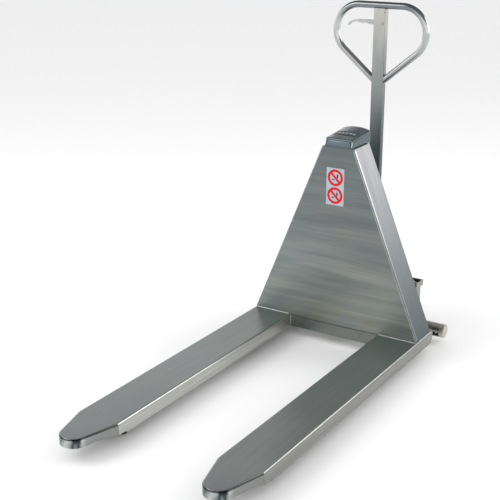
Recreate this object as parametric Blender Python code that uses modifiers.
"""Stainless scissor high-lift pallet truck, as separate named parts.

Metres, +Z up, forks pointing to -Y. The model is laid out with the front face of the
mast shroud at y = 0 and the floor at z = 0, and one empty shifts it so that the origin
is at the middle of its footprint.
"""
import math

import bmesh
import bpy
from mathutils import Matrix, Vector

# ---------------------------------------------------------------- driving dimensions
GAP = 0.0003                 # space left between pieces that touch
SHEET = 0.004                # sheet thickness of forks and shroud

FORK_TOP = 0.085             # lowered height
FORK_SKIRT_BOTTOM = 0.038
FORK_CENTRE = 0.261          # from the middle plane to the middle of a fork
FORK_HALF = 0.078            # half the width of a fork
FORK_REAR = 0.144
FORK_TAPER = -1.035          # where the sides start to draw in
FORK_TIP = -1.190
NOSE_RADIUS = 0.047
NOSE_BOTTOM = 0.0535

MAST_BOTTOM_HALF = 0.338     # half width of the shroud at the forks
MAST_TOP_HALF = 0.0622
MAST_TOP = 0.759
MAST_DEPTH = 0.125
MAST_FLANGE = 0.022
CAP_TOP = 0.8105
CAP_REAR = 0.159

PIVOT_Y = 0.105              # both rear scissor pivots, one above the other
ROLLER_Y = -0.950            # both front rollers, one above the other
ROLLER_RADIUS = 0.037
ROLLER_HALF_WIDTH = 0.009
ROLLER_OFFSET = 0.029        # from a fork's middle to each load roller
RUNNER_RADIUS = 0.0234
RUNNER_Z = FORK_TOP - 0.005 - GAP - RUNNER_RADIUS
CENTRE_ARM_HALF = 0.015
OUTER_ARM_INNER, OUTER_ARM_OUTER = 0.040, 0.048
ARM_HALF_HEIGHT = 0.019

STEER_Y = 0.240
WHEEL_RADIUS = 0.078
WHEEL_INNER, WHEEL_OUTER = 0.0105, 0.0500

COLUMN_X, COLUMN_Y, COLUMN_HALF = 0.204, 0.250, 0.024
COLUMN_BOTTOM, COLUMN_TOP = 0.030, 0.222
HEAD_HALF = 0.031
HEAD_HEIGHT = 0.0215
LEG_HALF = 0.019
PAD_CLEARANCE = 0.018
BRIDGE_BOTTOM, BRIDGE_TOP = 0.185, 0.200
BAR_Z, BAR_RADIUS, BAR_END = 0.045, 0.0265, 0.347

RAM_Y = 0.077
BARREL_RADIUS, STAGE_RADIUS, PLUNGER_RADIUS = 0.040, 0.032, 0.024
BARREL_BOTTOM, BARREL_TOP = 0.0705, 0.700

TILT_Y, TILT_Z = 0.262, 0.300            # hinge of the handle
CAM_Y, CAM_Z, CAM_RADIUS = 0.288, 0.317, 0.010
PUMP_TOP = 0.255
POST_Y, POST_HALF_X, POST_HALF_Y = 0.311, 0.024, 0.0125
POST_BOTTOM = 0.345
LOOP_RADIUS = 0.0127
LOOP_TOP = 1.2275
LOOP_BEND = 0.0941
LOOP_BEND_X = 0.0859
LOOP_FOOT = (0.018, 0.9534)              # where the legs' axes run into the post
LEVER_X, LEVER_Z = 0.0139, 1.1637        # hinge of the release lever
LEVER_TIP = -0.1335

LENGTH_REAR = POST_Y + LOOP_RADIUS
SHIFT_Y = -(FORK_TIP + LENGTH_REAR) / 2  # puts the footprint's middle at the origin

CENTRE_PIN_Y = (PIVOT_Y + ROLLER_Y) / 2
CENTRE_PIN_Z = (ROLLER_RADIUS + RUNNER_Z) / 2

# colour, roughness, metallic
FINISHES = {
    "fork_steel": ((0.26, 0.27, 0.26), 0.38, 1.0),
    "panel_steel": ((0.22, 0.24, 0.24), 0.42, 1.0),
    "polished_steel": ((0.55, 0.56, 0.55), 0.18, 1.0),
    "frame_steel": ((0.33, 0.31, 0.27), 0.36, 1.0),
    "chrome_rod": ((0.70, 0.70, 0.70), 0.10, 1.0),
    "cast_grey": ((0.18, 0.19, 0.20), 0.50, 1.0),
    "black_nylon": ((0.02, 0.02, 0.02), 0.55, 0.0),
    "dark_rubber": ((0.03, 0.03, 0.03), 0.80, 0.0),
    "label_film": ((0.78, 0.82, 0.86), 0.45, 0.0),
}

SIDES = (("left", -1), ("right", 1))


# ---------------------------------------------------------------- scene and helpers
def clear_scene():
    for obj in list(bpy.data.objects):
        bpy.data.objects.remove(obj, do_unlink=True)


def make_collection(name):
    collection = bpy.data.collections.new(name)
    bpy.context.scene.collection.children.link(collection)
    return collection


clear_scene()
PARTS = make_collection("pallet_truck")
CUTTERS = make_collection("cutters")
ORIGIN = bpy.data.objects.new("footprint_centre", None)
ORIGIN.location = (0, SHIFT_Y, 0)
PARTS.objects.link(ORIGIN)


def make_materials():
    made = {}
    for name, (colour, roughness, metallic) in FINISHES.items():
        material = bpy.data.materials.new(name)
        material.use_nodes = True
        shader = material.node_tree.nodes["Principled BSDF"]
        shader.inputs["Base Color"].default_value = (*colour, 1)
        shader.inputs["Roughness"].default_value = roughness
        shader.inputs["Metallic"].default_value = metallic
        made[name] = material
    return made


MATERIALS = make_materials()


def to_object(name, bm):
    """Makes an object of a bmesh; it isn't in a collection yet."""
    bmesh.ops.recalc_face_normals(bm, faces=bm.faces)
    mesh = bpy.data.meshes.new(name)
    bm.to_mesh(mesh)
    bm.free()
    obj = bpy.data.objects.new(name, mesh)
    obj.parent = ORIGIN
    return obj


def box(name, x, y, z):
    """A box between the two values of each pair."""
    size = [pair[1] - pair[0] for pair in (x, y, z)]
    centre = [(pair[1] + pair[0]) / 2 for pair in (x, y, z)]
    bm = bmesh.new()
    place = Matrix.Translation(centre) @ Matrix.Diagonal((*size, 1))
    bmesh.ops.create_cube(bm, size=1, matrix=place)
    return to_object(name, bm)


AXIS_TURN = {
    "X": Matrix.Rotation(math.pi / 2, 4, "Y"),
    "Y": Matrix.Rotation(math.pi / 2, 4, "X"),
    "Z": Matrix.Identity(4),
}


def rod(name, axis, centre, radius, length, sides=16):
    """A round bar; sides is a multiple of four, so that an edge lies at the very bottom."""
    bm = bmesh.new()
    place = Matrix.Translation(centre) @ AXIS_TURN[axis]
    bmesh.ops.create_cone(bm, cap_ends=True, segments=sides, radius1=radius, radius2=radius,
                          depth=length, matrix=place)
    obj = to_object(name, bm)
    smooth(obj)
    return obj


def smooth(obj):
    obj.data.shade_smooth()
    obj.data.set_sharp_from_angle(angle=math.radians(35))


def curve_to_mesh(name, curve, matrix):
    """Replaces a curve by a mesh with welded caps, in the layout's own coordinates."""
    source = bpy.data.objects.new(name + "_curve", curve)
    PARTS.objects.link(source)
    source.matrix_world = matrix
    bpy.context.view_layer.update()
    evaluated = source.evaluated_get(bpy.context.evaluated_depsgraph_get())
    mesh = bpy.data.meshes.new_from_object(evaluated)
    mesh.transform(source.matrix_world)
    bpy.data.objects.remove(source)
    bm = bmesh.new()
    bm.from_mesh(mesh)
    bmesh.ops.remove_doubles(bm, verts=bm.verts, dist=0.00002)
    return to_object(name, bm)


# Where a flat outline's first and second coordinates and its thickness point.
PLANES = {
    "XY": Matrix.Identity(4),
    "XZ": Matrix(((1, 0, 0, 0), (0, 0, -1, 0), (0, 1, 0, 0), (0, 0, 0, 1))),
    "YZ": Matrix(((0, 0, 1, 0), (1, 0, 0, 0), (0, 1, 0, 0), (0, 0, 0, 1))),
}
THICKNESS_SIGN = {"XY": 1, "XZ": -1, "YZ": 1}


def plate(name, plane, outline, span):
    """A flat outline in a plane, filled between the two values of span along its normal."""
    curve = bpy.data.curves.new(name, "CURVE")
    curve.dimensions = "2D"
    curve.fill_mode = "BOTH"
    curve.extrude = (span[1] - span[0]) / 2
    spline = curve.splines.new("POLY")
    spline.points.add(len(outline) - 1)
    for point, (first, second) in zip(spline.points, outline):
        point.co = (first, second, 0, 1)
    spline.use_cyclic_u = True
    middle = THICKNESS_SIGN[plane] * (span[0] + span[1]) / 2
    return curve_to_mesh(name, curve, PLANES[plane] @ Matrix.Translation((0, 0, middle)))


def tube(name, points, radius, resolution=3, cyclic=False):
    """A round bar along a list of points, with filled ends."""
    curve = bpy.data.curves.new(name, "CURVE")
    curve.dimensions = "3D"
    curve.bevel_depth = radius
    curve.bevel_resolution = resolution
    curve.use_fill_caps = True
    spline = curve.splines.new("POLY")
    spline.points.add(len(points) - 1)
    for point, place in zip(spline.points, points):
        point.co = (*place, 1)
    spline.use_cyclic_u = cyclic
    obj = curve_to_mesh(name, curve, Matrix.Identity(4))
    smooth(obj)
    return obj


def turned(name, axis, centre, profile, steps=24):
    """Turns a profile of (radius, height) about an axis; its outer side runs top to bottom."""
    bm = bmesh.new()
    closed = profile[0] == profile[-1]
    places = profile[:-1] if closed else profile
    verts = [bm.verts.new((radius, 0, height)) for radius, height in places]
    if closed:
        verts.append(verts[0])
    for first, second in zip(verts, verts[1:]):
        bm.edges.new((first, second))
    mesh = bpy.data.meshes.new(name)
    bm.to_mesh(mesh)
    bm.free()
    source = bpy.data.objects.new(name + "_profile", mesh)
    PARTS.objects.link(source)
    screw = source.modifiers.new("turn", "SCREW")
    screw.axis = "Z"
    screw.angle = math.tau
    screw.steps = screw.render_steps = steps
    screw.use_merge_vertices = True
    screw.merge_threshold = 0.00005
    screw.use_smooth_shade = False
    bpy.context.view_layer.update()
    evaluated = source.evaluated_get(bpy.context.evaluated_depsgraph_get())
    turned_mesh = bpy.data.meshes.new_from_object(evaluated)
    bpy.data.objects.remove(source)
    turned_mesh.transform(Matrix.Translation(centre) @ AXIS_TURN[axis])
    obj = bpy.data.objects.new(name, turned_mesh)
    obj.parent = ORIGIN
    smooth(obj)
    return obj


def combine(part, tool, operation):
    tool.name = f"{part.name}_{operation.lower()}_{len(part.modifiers)}"
    CUTTERS.objects.link(tool)
    tool.hide_render = True
    tool.display_type = "WIRE"
    modifier = part.modifiers.new(operation.lower(), "BOOLEAN")
    modifier.operation = operation
    modifier.solver = "EXACT"
    modifier.object = tool


def cut(part, *tools):
    for tool in tools:
        combine(part, tool, "DIFFERENCE")


def join(part, *tools):
    for tool in tools:
        combine(part, tool, "UNION")


def bevel(part, width, segments=2, angle=40):
    modifier = part.modifiers.new("round_edges", "BEVEL")
    modifier.width = width
    modifier.segments = segments
    modifier.limit_method = "ANGLE"
    modifier.angle_limit = math.radians(angle)


def add(part, finish, origin=None):
    """Puts a finished part in the collection, with its origin on its joint's axis."""
    PARTS.objects.link(part)
    part.data.materials.append(MATERIALS[finish])
    if origin is not None and part.location.length == 0:
        part.data.transform(Matrix.Translation(-Vector(origin)))
        part.location = origin
    return part


def arc(centre, radius, start, end, steps):
    """Points on an arc, angles in degrees from the first axis."""
    points = []
    for index in range(steps + 1):
        angle = math.radians(start + (end - start) * index / steps)
        points.append((centre[0] + radius * math.cos(angle), centre[1] + radius * math.sin(angle)))
    return points


# ---------------------------------------------------------------- carriage: forks
def fork_outline():
    """Plan of a fork about its own middle line: straight sides, a taper and a round nose."""
    nose_y = FORK_TIP + NOSE_RADIUS
    run = FORK_TAPER - nose_y
    reach = math.hypot(FORK_HALF, run)
    lean = math.degrees(math.atan2(FORK_HALF, run) - math.asin(NOSE_RADIUS / reach))
    nose = arc((0, nose_y), NOSE_RADIUS, -lean, lean - 180, 12)
    return [(FORK_HALF, FORK_REAR), (FORK_HALF, FORK_TAPER), *nose,
            (-FORK_HALF, FORK_TAPER), (-FORK_HALF, FORK_REAR)]


def shifted(outline, x):
    return [(first + x, second) for first, second in outline]


def make_fork(name, side):
    middle = side * FORK_CENTRE
    fork = plate(name, "XY", shifted(fork_outline(), middle), (FORK_SKIRT_BOTTOM, FORK_TOP))
    bevel(fork, 0.0035, 2, 60)
    inner = FORK_HALF - SHEET
    ceiling = FORK_TOP - 0.005
    cut(fork,
        box("channel", (middle - inner, middle + inner), (FORK_TAPER + 0.004, FORK_REAR + 0.05),
            (0, ceiling)),
        box("nose_hollow", (middle - 0.040, middle + 0.040), (FORK_TIP + 0.040, FORK_TAPER + 0.006),
            (0, ceiling)))
    # The underside steps up ahead of the rollers, towards the thin nose.
    underside = [(-0.995, 0.0), (-0.995, 0.044), (-1.035, 0.046), (-1.070, NOSE_BOTTOM),
                 (FORK_TIP - 0.05, NOSE_BOTTOM), (FORK_TIP - 0.05, 0.0)]
    chamfer = [(FORK_REAR + 0.01, FORK_SKIRT_BOTTOM - 0.01), (FORK_REAR - 0.016, FORK_SKIRT_BOTTOM - 0.01),
               (FORK_REAR - 0.012, FORK_SKIRT_BOTTOM), (FORK_REAR - 0.003, FORK_SKIRT_BOTTOM + 0.016),
               (FORK_REAR + 0.01, FORK_SKIRT_BOTTOM + 0.017)]
    across = (middle - 0.1, middle + 0.1)
    # The shroud stands on a seat that is a hair lower than the load face.
    cut(fork, box("mast_seat", across, (-0.0006, FORK_REAR + 0.05), (FORK_TOP - 0.0004, FORK_TOP + 0.01)))
    cut(fork, plate("underside", "YZ", underside, across), plate("rear_chamfer", "YZ", chamfer, across))
    # Stub shafts welded inside the skirts carry the rear ends of the outer arms.
    for hand in (-1, 1):
        centre = (middle + hand * 0.057, PIVOT_Y, RUNNER_Z)
        join(fork, rod("stub", "X", centre, 0.008, 0.038, 12))
    return add(fork, "fork_steel", (middle, PIVOT_Y, RUNNER_Z))


def make_cross_beam():
    inner = FORK_CENTRE - FORK_HALF - GAP
    outline = [(0, FORK_SKIRT_BOTTOM), (0.005, FORK_SKIRT_BOTTOM), (0.005, 0.080), (0.024, 0.080),
               (0.024, FORK_TOP - GAP), (0, FORK_TOP - GAP)]
    beam = plate("cross_beam", "YZ", outline, (-inner, inner))
    return add(beam, "fork_steel")


# ---------------------------------------------------------------- carriage: mast shroud
MAST_BOTTOM = FORK_TOP + GAP
MAST_SLOPE = (MAST_BOTTOM_HALF - MAST_TOP_HALF) / (MAST_TOP - MAST_BOTTOM)
LABEL_X, LABEL_Z, LABEL_DEPTH = (-0.042, 0.029), (0.547, 0.6845), 0.0009


def make_front_panel():
    outline = [(-MAST_BOTTOM_HALF, MAST_BOTTOM), (MAST_BOTTOM_HALF, MAST_BOTTOM),
               (MAST_TOP_HALF, MAST_TOP), (-MAST_TOP_HALF, MAST_TOP)]
    panel = plate("front_panel", "XZ", outline, (0, SHEET))
    (left, right), (low, high) = LABEL_X, LABEL_Z
    cut(panel, box("label_pocket", (left - GAP, right + GAP), (-0.01, LABEL_DEPTH), (low - GAP, high + GAP)))
    return add(panel, "panel_steel")


def make_side_panel(name, side):
    """A folded sheet that leans inwards, with a return flange along its rear edge."""
    front = SHEET + GAP
    skin = 0.0045
    section = [(0, front), (0, MAST_DEPTH), (-MAST_FLANGE, MAST_DEPTH), (-MAST_FLANGE, MAST_DEPTH - SHEET),
               (-skin, MAST_DEPTH - SHEET), (-skin, front)]
    outline = [(side * (MAST_BOTTOM_HALF + x), y) for x, y in section]
    panel = plate(name, "XY", outline, (MAST_BOTTOM, MAST_TOP))
    lean = Matrix.Identity(4)
    lean[0][2] = -side * MAST_SLOPE
    lean[0][3] = side * MAST_SLOPE * MAST_BOTTOM
    panel.data.transform(lean)
    return add(panel, "panel_steel")


def make_head_block():
    half = MAST_TOP_HALF - 0.006
    block = box("head_block", (-half, half), (SHEET + GAP, MAST_DEPTH - SHEET - GAP),
                (MAST_TOP - 0.014, MAST_TOP - GAP))
    return add(block, "cast_grey")


CAP_FRONT = (0.011, 0.790)                # front top edge: distance back, height
CAP_CREST = (0.144, CAP_TOP)
CAP_HALF = 0.055


def make_mast_cap():
    """A cap with a leaning front, a top that climbs gently to the rear and a rounded rear end."""
    seat = MAST_TOP + GAP
    rear = [(CAP_REAR - 0.006, CAP_TOP - 0.0030), (CAP_REAR - 0.001, CAP_TOP - 0.0100), (CAP_REAR, 0.790),
            (CAP_REAR - 0.003, seat + 0.006), (CAP_REAR - 0.008, seat)]
    profile = [(0.0035, seat), CAP_FRONT, CAP_CREST, *rear]
    cap = plate("mast_cap", "YZ", profile, (-CAP_HALF, CAP_HALF))
    bevel(cap, 0.006, 2, 50)
    return add(cap, "panel_steel")


def make_cap_strip():
    """A plain plate on the sloping top of the cap."""
    run, rise = CAP_CREST[0] - CAP_FRONT[0], CAP_CREST[1] - CAP_FRONT[1]
    length = math.hypot(run, rise)
    along, up = Vector((run, rise)) / length, Vector((-rise, run)) / length
    start = Vector(CAP_FRONT)
    low, high, thick = 0.034, 0.078, 0.0012
    corners = [start + along * low + up * GAP, start + along * high + up * GAP,
               start + along * high + up * thick, start + along * low + up * thick]
    strip = plate("cap_strip", "YZ", [tuple(corner) for corner in corners], (-0.041, 0.041))
    return add(strip, "polished_steel")


def make_label_plate():
    label = box("label_plate", LABEL_X, (0.0001, LABEL_DEPTH - GAP), LABEL_Z)
    return add(label, "label_film")


# ---------------------------------------------------------------- scissor arms
def arm_outline(rear, front, half):
    """A bar with round ends from the rear pivot to the front one, in the YZ plane."""
    tilt = math.degrees(math.atan2(front[1] - rear[1], front[0] - rear[0]))
    return arc(front, half, tilt - 90, tilt + 90, 6) + arc(rear, half, tilt + 90, tilt + 270, 6)


LOW_REAR = (PIVOT_Y, ROLLER_RADIUS)
HIGH_REAR = (PIVOT_Y, RUNNER_Z)
HIGH_FRONT = (ROLLER_Y, RUNNER_Z)
LOW_FRONT = (ROLLER_Y, ROLLER_RADIUS)
CENTRE_PIN = (0, CENTRE_PIN_Y, CENTRE_PIN_Z)
PIN_RADIUS = 0.008
PIN_CLEARANCE = 0.0004


def bore(axis, centre, length, radius=PIN_RADIUS + PIN_CLEARANCE):
    return rod("bore", axis, centre, radius, length, 16)


def make_centre_arm(name, side):
    """The arm that runs from the chassis up to the runner under the fork."""
    middle = side * FORK_CENTRE
    arm = plate(name, "YZ", arm_outline(LOW_REAR, HIGH_FRONT, ARM_HALF_HEIGHT),
                (middle - CENTRE_ARM_HALF, middle + CENTRE_ARM_HALF))
    slot_half = 0.0085
    cut(arm,
        bore("X", (middle, *LOW_REAR), 0.1),
        bore("X", (middle, CENTRE_PIN_Y, CENTRE_PIN_Z), 0.1),
        box("runner_slot", (middle - slot_half, middle + slot_half),
            (ROLLER_Y - 0.05, ROLLER_Y + RUNNER_RADIUS + 0.004), (0, 0.1)))
    join(arm, rod("runner_axle", "X", (middle, *HIGH_FRONT), 0.007, 2 * CENTRE_ARM_HALF - 0.002, 12))
    return add(arm, "frame_steel", (middle, *LOW_REAR))


def make_outer_arm(name, side, hand):
    """A bar beside the centre arm, from the fork down to the stub axle of its load roller."""
    fork_middle = side * FORK_CENTRE
    edges = [fork_middle + hand * value for value in (OUTER_ARM_INNER, OUTER_ARM_OUTER)]
    span = (min(edges), max(edges))
    middle = sum(span) / 2
    arm = plate(name, "YZ", arm_outline(HIGH_REAR, LOW_FRONT, ARM_HALF_HEIGHT), span)
    for place in (HIGH_REAR, (CENTRE_PIN_Y, CENTRE_PIN_Z)):
        cut(arm, bore("X", (middle, *place), 0.05))
    axle_end, axle_root = 0.0185, 0.044
    axle_middle = fork_middle + hand * (axle_end + axle_root) / 2
    join(arm, rod("axle", "X", (axle_middle, *LOW_FRONT), PIN_RADIUS, axle_root - axle_end, 16))
    return add(arm, "frame_steel", CENTRE_PIN)


def make_pin(name, middle, place, half, origin):
    """A plain pivot pin across a fork's middle."""
    return add(rod(name, "X", (middle, *place), PIN_RADIUS, 2 * half, 16), "chrome_rod", origin)


def make_load_roller(name, middle):
    profile = [(PIN_RADIUS + PIN_CLEARANCE, -ROLLER_HALF_WIDTH), (PIN_RADIUS + PIN_CLEARANCE, ROLLER_HALF_WIDTH),
               (ROLLER_RADIUS - 0.002, ROLLER_HALF_WIDTH), (ROLLER_RADIUS, ROLLER_HALF_WIDTH - 0.002),
               (ROLLER_RADIUS, 0.002 - ROLLER_HALF_WIDTH), (ROLLER_RADIUS - 0.002, -ROLLER_HALF_WIDTH),
               (PIN_RADIUS + PIN_CLEARANCE, -ROLLER_HALF_WIDTH)]
    return add(turned(name, "X", (middle, *LOW_FRONT), profile, 32), "black_nylon")


def make_runner(name, middle):
    half, hole = 0.0075, 0.0075
    profile = [(hole, -half), (hole, half), (RUNNER_RADIUS, half), (RUNNER_RADIUS, -half), (hole, -half)]
    return add(turned(name, "X", (middle, *HIGH_FRONT), profile, 24), "black_nylon")


def make_scissor(label, side):
    middle = side * FORK_CENTRE
    make_centre_arm(f"centre_arm_{label}", side)
    for where, hand in (("inner", -side), ("outer", side)):
        make_outer_arm(f"{where}_arm_{label}", side, hand)
        make_load_roller(f"load_roller_{label}_{where}", middle + hand * ROLLER_OFFSET)
    make_pin(f"chassis_pin_{label}", middle, LOW_REAR, 0.025, (middle, *LOW_REAR))
    make_pin(f"scissor_pin_{label}", middle, (CENTRE_PIN_Y, CENTRE_PIN_Z), 0.050, CENTRE_PIN)
    make_runner(f"runner_{label}", middle)


# ---------------------------------------------------------------- chassis
def make_column(name, side):
    """A square tube with a boxed head that is open at the top, for its leg's bolt."""
    centre = side * COLUMN_X
    half = COLUMN_HALF
    column = box(name, (centre - half, centre + half), (COLUMN_Y - half, COLUMN_Y + half),
                 (COLUMN_BOTTOM, COLUMN_TOP - 0.001))
    head = box("head", (centre - HEAD_HALF, centre + HEAD_HALF),
               (COLUMN_Y - HEAD_HALF, COLUMN_Y + HEAD_HALF), (COLUMN_TOP - HEAD_HEIGHT, COLUMN_TOP))
    join(column, head)
    bore_half = LEG_HALF + 0.001
    well_half = HEAD_HALF - 0.004
    cut(column,
        box("leg_bore", (centre - bore_half, centre + bore_half),
            (COLUMN_Y - bore_half, COLUMN_Y + bore_half), (0, COLUMN_TOP + 0.05)),
        box("head_well", (centre - well_half, centre + well_half),
            (COLUMN_Y - well_half, COLUMN_Y + well_half), (COLUMN_TOP - 0.018, COLUMN_TOP + 0.05)))
    return add(column, "frame_steel")


def make_head_bolt(name, side):
    """The bolt across a column's head, over the top of the leg."""
    length = 2 * (HEAD_HALF - 0.004 - GAP)
    bolt = rod(name, "X", (side * COLUMN_X, COLUMN_Y, COLUMN_TOP - 0.010), 0.006, length, 12)
    return add(bolt, "chrome_rod")


def make_stub_bar(name, side):
    """The round bar beside a column, with the clevis that carries the centre arm."""
    start = COLUMN_X + COLUMN_HALF + GAP
    length = BAR_END - 0.003 - start
    bar = rod(name, "X", (side * (start + length / 2), COLUMN_Y, BAR_Z), BAR_RADIUS, length, 24)
    end = rod("end_cap", "X", (side * (BAR_END - 0.003), COLUMN_Y, BAR_Z), BAR_RADIUS - 0.002, 0.006, 24)
    join(bar, end)
    clevis = [(COLUMN_Y - 0.002, BAR_Z - 0.018), (COLUMN_Y - 0.002, BAR_Z + 0.018)]
    clevis += arc(LOW_REAR, 0.015, 80, 280, 8)
    for low, high in ((0.0165, 0.0235), (-0.0235, -0.0165)):
        edges = (side * FORK_CENTRE + low, side * FORK_CENTRE + high)
        join(bar, plate("clevis", "YZ", clevis, edges))
    cut(bar, bore("X", (side * FORK_CENTRE, *LOW_REAR), 0.12))
    window = (side * 0.303, side * 0.331)
    cut(bar, box("window", (min(window), max(window)), (COLUMN_Y - 0.05, COLUMN_Y + 0.012),
                 (BAR_Z - 0.017, BAR_Z + 0.014)))
    return add(bar, "frame_steel")


def make_stub_bolt(name, side):
    bolt = rod(name, "X", (side * 0.317, COLUMN_Y - 0.009, BAR_Z - 0.002), 0.0065, 0.028 - 2 * GAP, 12)
    return add(bolt, "chrome_rod")


RAM_FOOT_HALF = 0.060
BRIDGE_FRONT = 0.129


def make_bridge():
    """The plate that joins the columns over the steered wheels, with the kingpin's hole."""
    reach = COLUMN_X - COLUMN_HALF - GAP
    back = COLUMN_Y + COLUMN_HALF
    outline = [(-reach, COLUMN_Y - COLUMN_HALF), (-RAM_FOOT_HALF - 0.03, BRIDGE_FRONT),
               (RAM_FOOT_HALF + 0.03, BRIDGE_FRONT), (reach, COLUMN_Y - COLUMN_HALF),
               (reach, back), (-reach, back)]
    bridge = plate("bridge_plate", "XY", outline, (BRIDGE_BOTTOM, BRIDGE_TOP))
    cut(bridge, rod("kingpin_hole", "Z", (0, STEER_Y, BRIDGE_TOP), 0.0192, 0.1, 24))
    return add(bridge, "frame_steel")


def make_ram_bracket():
    """Hangs from the bridge's front edge and carries the ram inside the shroud."""
    hanger = 0.141
    foot = [(RAM_Y - 0.045, 0.058), (hanger, 0.058), (hanger, BRIDGE_BOTTOM - GAP),
            (BRIDGE_FRONT, BRIDGE_BOTTOM - GAP), (BRIDGE_FRONT, BARREL_BOTTOM - GAP),
            (RAM_Y - 0.045, BARREL_BOTTOM - GAP)]
    bracket = plate("ram_bracket", "YZ", foot, (-RAM_FOOT_HALF, RAM_FOOT_HALF))
    return add(bracket, "frame_steel")


def tube_profile(outer, inner, bottom, top, floor):
    """A tube with a closed lower end of the given thickness, as a profile for turning."""
    return [(0, bottom + floor), (inner, bottom + floor), (inner, top), (outer, top),
            (outer, bottom), (0, bottom)]


def make_ram():
    centre = (0, RAM_Y, 0)
    barrel = tube_profile(BARREL_RADIUS, STAGE_RADIUS + 0.001, BARREL_BOTTOM, BARREL_TOP, 0.012)
    stage = tube_profile(STAGE_RADIUS, PLUNGER_RADIUS + 0.001, 0.0835, BARREL_TOP + 0.015, 0.012)
    rod_low, rod_high = 0.097, MAST_TOP - 0.014 - GAP
    plunger = [(0, rod_high), (PLUNGER_RADIUS, rod_high), (PLUNGER_RADIUS, rod_low), (0, rod_low)]
    add(turned("ram_barrel", "Z", centre, barrel, 24), "frame_steel")
    add(turned("ram_stage", "Z", centre, stage, 24), "chrome_rod")
    add(turned("ram_plunger", "Z", centre, plunger, 20), "chrome_rod")


def rounded_path(points, radius, steps=4):
    """Replaces each inner corner of a path by an arc-like stretch of the given radius."""
    path = [Vector(points[0])]
    for before, corner, after in zip(points, points[1:], points[2:]):
        corner = Vector(corner)
        start = corner + (Vector(before) - corner).normalized() * radius
        end = corner + (Vector(after) - corner).normalized() * radius
        for index in range(steps + 1):
            t = index / steps
            path.append(start * (1 - t) ** 2 + corner * 2 * t * (1 - t) + end * t ** 2)
    path.append(Vector(points[-1]))
    return path


def make_oil_pipe():
    """Steel pipe from the bridge to the ram's barrel."""
    rise = 0.235
    reach = 0.075
    points = [(BARREL_RADIUS + GAP, RAM_Y, rise), (reach, RAM_Y, rise), (reach, 0.160, rise),
              (reach, 0.160, BRIDGE_TOP + GAP)]
    return add(tube("oil_pipe", rounded_path(points, 0.016), 0.005, 2), "chrome_rod")


def make_leg(name, side):
    """Stabiliser leg: a square bar in its column, with a round foot pad."""
    centre = side * COLUMN_X
    leg = box(name, (centre - LEG_HALF, centre + LEG_HALF), (COLUMN_Y - LEG_HALF, COLUMN_Y + LEG_HALF),
              (PAD_CLEARANCE + 0.004, COLUMN_TOP - 0.020))
    pad = rod("pad", "Z", (centre, COLUMN_Y, PAD_CLEARANCE + 0.004), 0.0235, 0.008, 24)
    join(leg, pad)
    return add(leg, "frame_steel", (centre, COLUMN_Y, PAD_CLEARANCE))


# ---------------------------------------------------------------- steering
STEER_ORIGIN = (0, STEER_Y, BRIDGE_TOP)
AXLE_RADIUS = 0.010


def make_steer_yoke():
    """Turntable and kingpin, with the stem that holds the axle between the wheels."""
    turntable_top, turntable_bottom = BRIDGE_BOTTOM - GAP, 0.168
    kingpin_top = BRIDGE_TOP + 0.003
    profile = [(0, kingpin_top), (0.0188, kingpin_top), (0.0188, turntable_top), (0.045, turntable_top),
               (0.045, turntable_bottom), (0, turntable_bottom)]
    yoke = turned("steer_yoke", "Z", (0, STEER_Y, 0), profile, 24)
    stem_half = WHEEL_INNER - 0.0015
    stem = [(STEER_Y - 0.030, 0.172), (STEER_Y + 0.030, 0.172)]
    stem += arc((STEER_Y, WHEEL_RADIUS), 0.020, 0, -180, 8)
    join(yoke, plate("stem", "YZ", stem[::-1], (-stem_half, stem_half)))
    cut(yoke, bore("X", (0, STEER_Y, WHEEL_RADIUS), 0.05, AXLE_RADIUS + PIN_CLEARANCE))
    return add(yoke, "cast_grey", STEER_ORIGIN)


def make_wheel_axle():
    """The shaft through the yoke, with a collar outside each wheel."""
    end = WHEEL_OUTER + 0.004
    collar = WHEEL_OUTER + 0.0008
    profile = [(0, end), (0.013, end), (0.013, collar), (AXLE_RADIUS, collar), (AXLE_RADIUS, -collar),
               (0.013, -collar), (0.013, -end), (0, -end)]
    axle = turned("wheel_axle", "X", (0, STEER_Y, WHEEL_RADIUS), profile, 16)
    return add(axle, "chrome_rod", STEER_ORIGIN)


def make_wheel(label, side):
    centre = (side * (WHEEL_INNER + WHEEL_OUTER) / 2, STEER_Y, WHEEL_RADIUS)
    half = (WHEEL_OUTER - WHEEL_INNER) / 2
    rim, tread, edge = 0.060, WHEEL_RADIUS, 0.003
    tyre = [(rim, -half), (rim, half), (tread - edge, half), (tread, half - edge),
            (tread, edge - half), (tread - edge, -half), (rim, -half)]
    add(turned(f"tyre_{label}", "X", centre, tyre, 40), "dark_rubber")
    hole, boss, web = AXLE_RADIUS + PIN_CLEARANCE, 0.020, half - 0.010
    seat, lip = rim - GAP, rim - 0.008
    hub = [(hole, -half), (hole, half), (boss, half), (boss, web), (lip, web), (lip, half - 0.002),
           (seat, half - 0.002), (seat, 0.002 - half), (lip, 0.002 - half), (lip, -web),
           (boss, -web), (boss, -half), (hole, -half)]
    add(turned(f"wheel_hub_{label}", "X", centre, hub, 40), "cast_grey")


PLUNGER_CAP_TOP = CAM_Z - CAM_RADIUS - 0.0005
PLUNGER_CAP_BOTTOM = PLUNGER_CAP_TOP - 0.006


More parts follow.
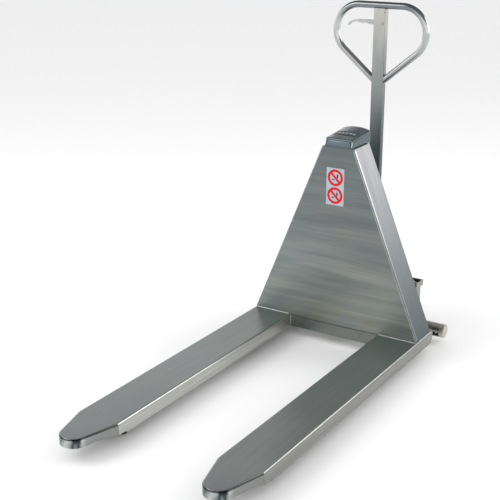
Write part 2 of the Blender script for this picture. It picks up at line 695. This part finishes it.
def make_pump():
    """Pump block on the kingpin, with the ear for the handle and the sprung plunger."""
    block = box("pump_block", (-0.0235, 0.0235), (STEER_Y - 0.037, CAM_Y + 0.017),
                (BRIDGE_TOP + 0.0033, PUMP_TOP))
    bevel(block, 0.004, 2)
    ear = [(TILT_Y - 0.013, PUMP_TOP - 0.010), (TILT_Y + 0.010, PUMP_TOP - 0.010)]
    ear += arc((TILT_Y, TILT_Z), 0.012, -20, 200, 8)
    join(block, plate("ear", "YZ", ear, (-0.012, 0.012)))
    cut(block, bore("X", (0, TILT_Y, TILT_Z), 0.05, 0.0074),
        rod("plunger_bore", "Z", (0, CAM_Y, PUMP_TOP), 0.0095, 0.060, 16))
    add(block, "cast_grey", STEER_ORIGIN)

    profile = [(0, PLUNGER_CAP_TOP), (0.0125, PLUNGER_CAP_TOP), (0.0125, PLUNGER_CAP_BOTTOM),
               (0.009, PLUNGER_CAP_BOTTOM), (0.009, PLUNGER_CAP_TOP - 0.0455), (0, PLUNGER_CAP_TOP - 0.0455)]
    add(turned("pump_plunger", "Z", (0, CAM_Y, 0), profile, 16), "chrome_rod", (0, CAM_Y, PUMP_TOP))

    wire, turns, steps = 0.0009, 5, 12
    low, high = PUMP_TOP + wire + GAP, PLUNGER_CAP_BOTTOM - wire - GAP
    coil = []
    for index in range(turns * steps + 1):
        angle = math.tau * index / steps
        height = low + (high - low) * index / (turns * steps)
        coil.append((0.0112 * math.cos(angle), CAM_Y + 0.0112 * math.sin(angle), height))
    add(tube("pump_spring", coil, wire, 1), "frame_steel", (0, CAM_Y, PUMP_TOP))


# ---------------------------------------------------------------- handle
TILT_AXIS = (0, TILT_Y, TILT_Z)
CHEEK_INNER, CHEEK_OUTER = POST_HALF_X + 0.0005, POST_HALF_X + 0.0065


def make_handle_socket():
    """Two cheeks that hang on the hinge, joined by a block under the post."""
    front, rear = POST_Y - POST_HALF_Y, POST_Y + POST_HALF_Y
    cheek = arc((TILT_Y, TILT_Z), 0.016, 150, 300, 8)
    cheek += [(0.302, 0.302), (rear, 0.335), (rear, 0.405), (front, 0.405), (front, 0.370)]
    block = (POST_BOTTOM - 0.016, POST_BOTTOM - GAP)
    socket = box("handle_socket", (-CHEEK_INNER - 0.002, CHEEK_INNER + 0.002), (front + 0.001, rear), block)
    for side in (-1, 1):
        edges = (side * CHEEK_INNER, side * CHEEK_OUTER)
        join(socket, plate("cheek", "YZ", cheek, (min(edges), max(edges))))
    join(socket, rod("cam_axle", "X", (0, CAM_Y, CAM_Z), 0.004, 2 * CHEEK_INNER + 0.004, 12))
    cut(socket, bore("X", (0, TILT_Y, TILT_Z), 0.1, 0.0074))
    return add(socket, "frame_steel", TILT_AXIS)


def make_hinge_pin():
    pin = rod("handle_pin", "X", TILT_AXIS, 0.007, 2 * CHEEK_OUTER + 0.006, 16)
    return add(pin, "chrome_rod", TILT_AXIS)


def make_cam_roller():
    half, hole = 0.009, 0.0045
    profile = [(hole, -half), (hole, half), (CAM_RADIUS, half), (CAM_RADIUS, -half), (hole, -half)]
    return add(turned("cam_roller", "X", (0, CAM_Y, CAM_Z), profile, 16), "cast_grey", TILT_AXIS)


def make_post():
    wall = 0.0025
    top = LOOP_TOP - LOOP_RADIUS - GAP
    x, y = (-POST_HALF_X, POST_HALF_X), (POST_Y - POST_HALF_Y, POST_Y + POST_HALF_Y)
    post = box("handle_post", x, y, (POST_BOTTOM, top))
    bevel(post, 0.0025, 2)
    cut(post,
        box("hollow", (x[0] + wall, x[1] - wall), (y[0] + wall, y[1] - wall), (POST_BOTTOM - 0.01, top - 0.003)),
        box("lever_slot", (-POST_HALF_X - 0.01, -POST_HALF_X + 0.01), (POST_Y - 0.0055, POST_Y + 0.0055),
            (1.148, 1.190)),
        rod("lever_pin_hole", "Y", (LEVER_X, POST_Y, LEVER_Z), 0.0034, 0.1, 12),
        rod("drain_hole", "Y", (0.020 - 0.003, POST_Y - POST_HALF_Y, 1.203), 0.0012, 0.02, 8))
    return add(post, "frame_steel", TILT_AXIS)


def make_loop():
    """The closed hand loop: a straight top bar, two wide bends and legs down to the post."""
    bend_z = LOOP_TOP - LOOP_BEND
    foot = Vector(LOOP_FOOT)
    centre = Vector((LOOP_BEND_X, bend_z))
    offset = foot - centre
    tangent = math.degrees(math.atan2(offset.y, offset.x)
                           + math.acos(LOOP_BEND / offset.length))
    right = arc((LOOP_BEND_X, bend_z), LOOP_BEND, 90, tangent, 14)
    side_points = [(x, POST_Y, z) for x, z in [*right, LOOP_FOOT]]
    other = [(-x, y, z) for x, y, z in reversed(side_points)]
    loop = tube("handle_loop", [*other, *side_points], LOOP_RADIUS, 3)
    half = POST_HALF_X + GAP
    cut(loop, box("post_room", (-half, half), (POST_Y - 0.03, POST_Y + 0.03), (0.90, 1.05)))
    return add(loop, "polished_steel", TILT_AXIS)


def make_release_lever():
    """A hooked finger lever on a pin inside the post."""
    pivot = (LEVER_X, 0, LEVER_Z)
    outline = arc((LEVER_X, LEVER_Z), 0.0065, -90, 90, 6)
    outline += [(-0.010, 1.1735), (-0.060, 1.1735), (-0.098, 1.1715), (-0.118, 1.1660), (-0.129, 1.1575),
                (LEVER_TIP, 1.1515), (LEVER_TIP + 0.0015, 1.1483), (-0.127, 1.1490), (-0.119, 1.1560),
                (-0.104, 1.1620), (-0.088, 1.1625), (-0.072, 1.1595), (-0.058, 1.1605), (-0.046, 1.1575),
                (-0.024, 1.1560)]
    lever = plate("release_lever", "XZ", outline, (POST_Y - 0.004, POST_Y + 0.004))
    cut(lever, rod("pin_hole", "Y", (LEVER_X, POST_Y, LEVER_Z), 0.0034, 0.05, 12))
    bevel(lever, 0.0012, 1)
    add(lever, "polished_steel", (pivot[0], POST_Y, pivot[2]))
    pin = rod("lever_pin", "Y", (LEVER_X, POST_Y, LEVER_Z), 0.003, 2 * POST_HALF_Y - 0.001, 12)
    add(pin, "cast_grey", TILT_AXIS)
    top = 1.1545
    release = rod("release_rod", "Z", (-0.001, POST_Y, (0.36 + top) / 2), 0.003, top - 0.36, 8)
    add(release, "chrome_rod", TILT_AXIS)


# ---------------------------------------------------------------- build
def build():
    for label, side in SIDES:
        make_fork(f"fork_{label}", side)
        make_side_panel(f"side_panel_{label}", side)
        make_scissor(label, side)
        make_column(f"column_{label}", side)
        make_head_bolt(f"head_bolt_{label}", side)
        make_stub_bar(f"stub_bar_{label}", side)
        make_stub_bolt(f"stub_bolt_{label}", side)
        make_leg(f"stabiliser_leg_{label}", side)
        make_wheel(label, side)
    for make in (make_cross_beam, make_front_panel, make_head_block, make_mast_cap, make_cap_strip,
                 make_label_plate, make_bridge, make_ram_bracket, make_ram, make_oil_pipe, make_steer_yoke,
                 make_wheel_axle, make_pump, make_handle_socket, make_hinge_pin, make_cam_roller,
                 make_post, make_loop, make_release_lever):
        make()


build()
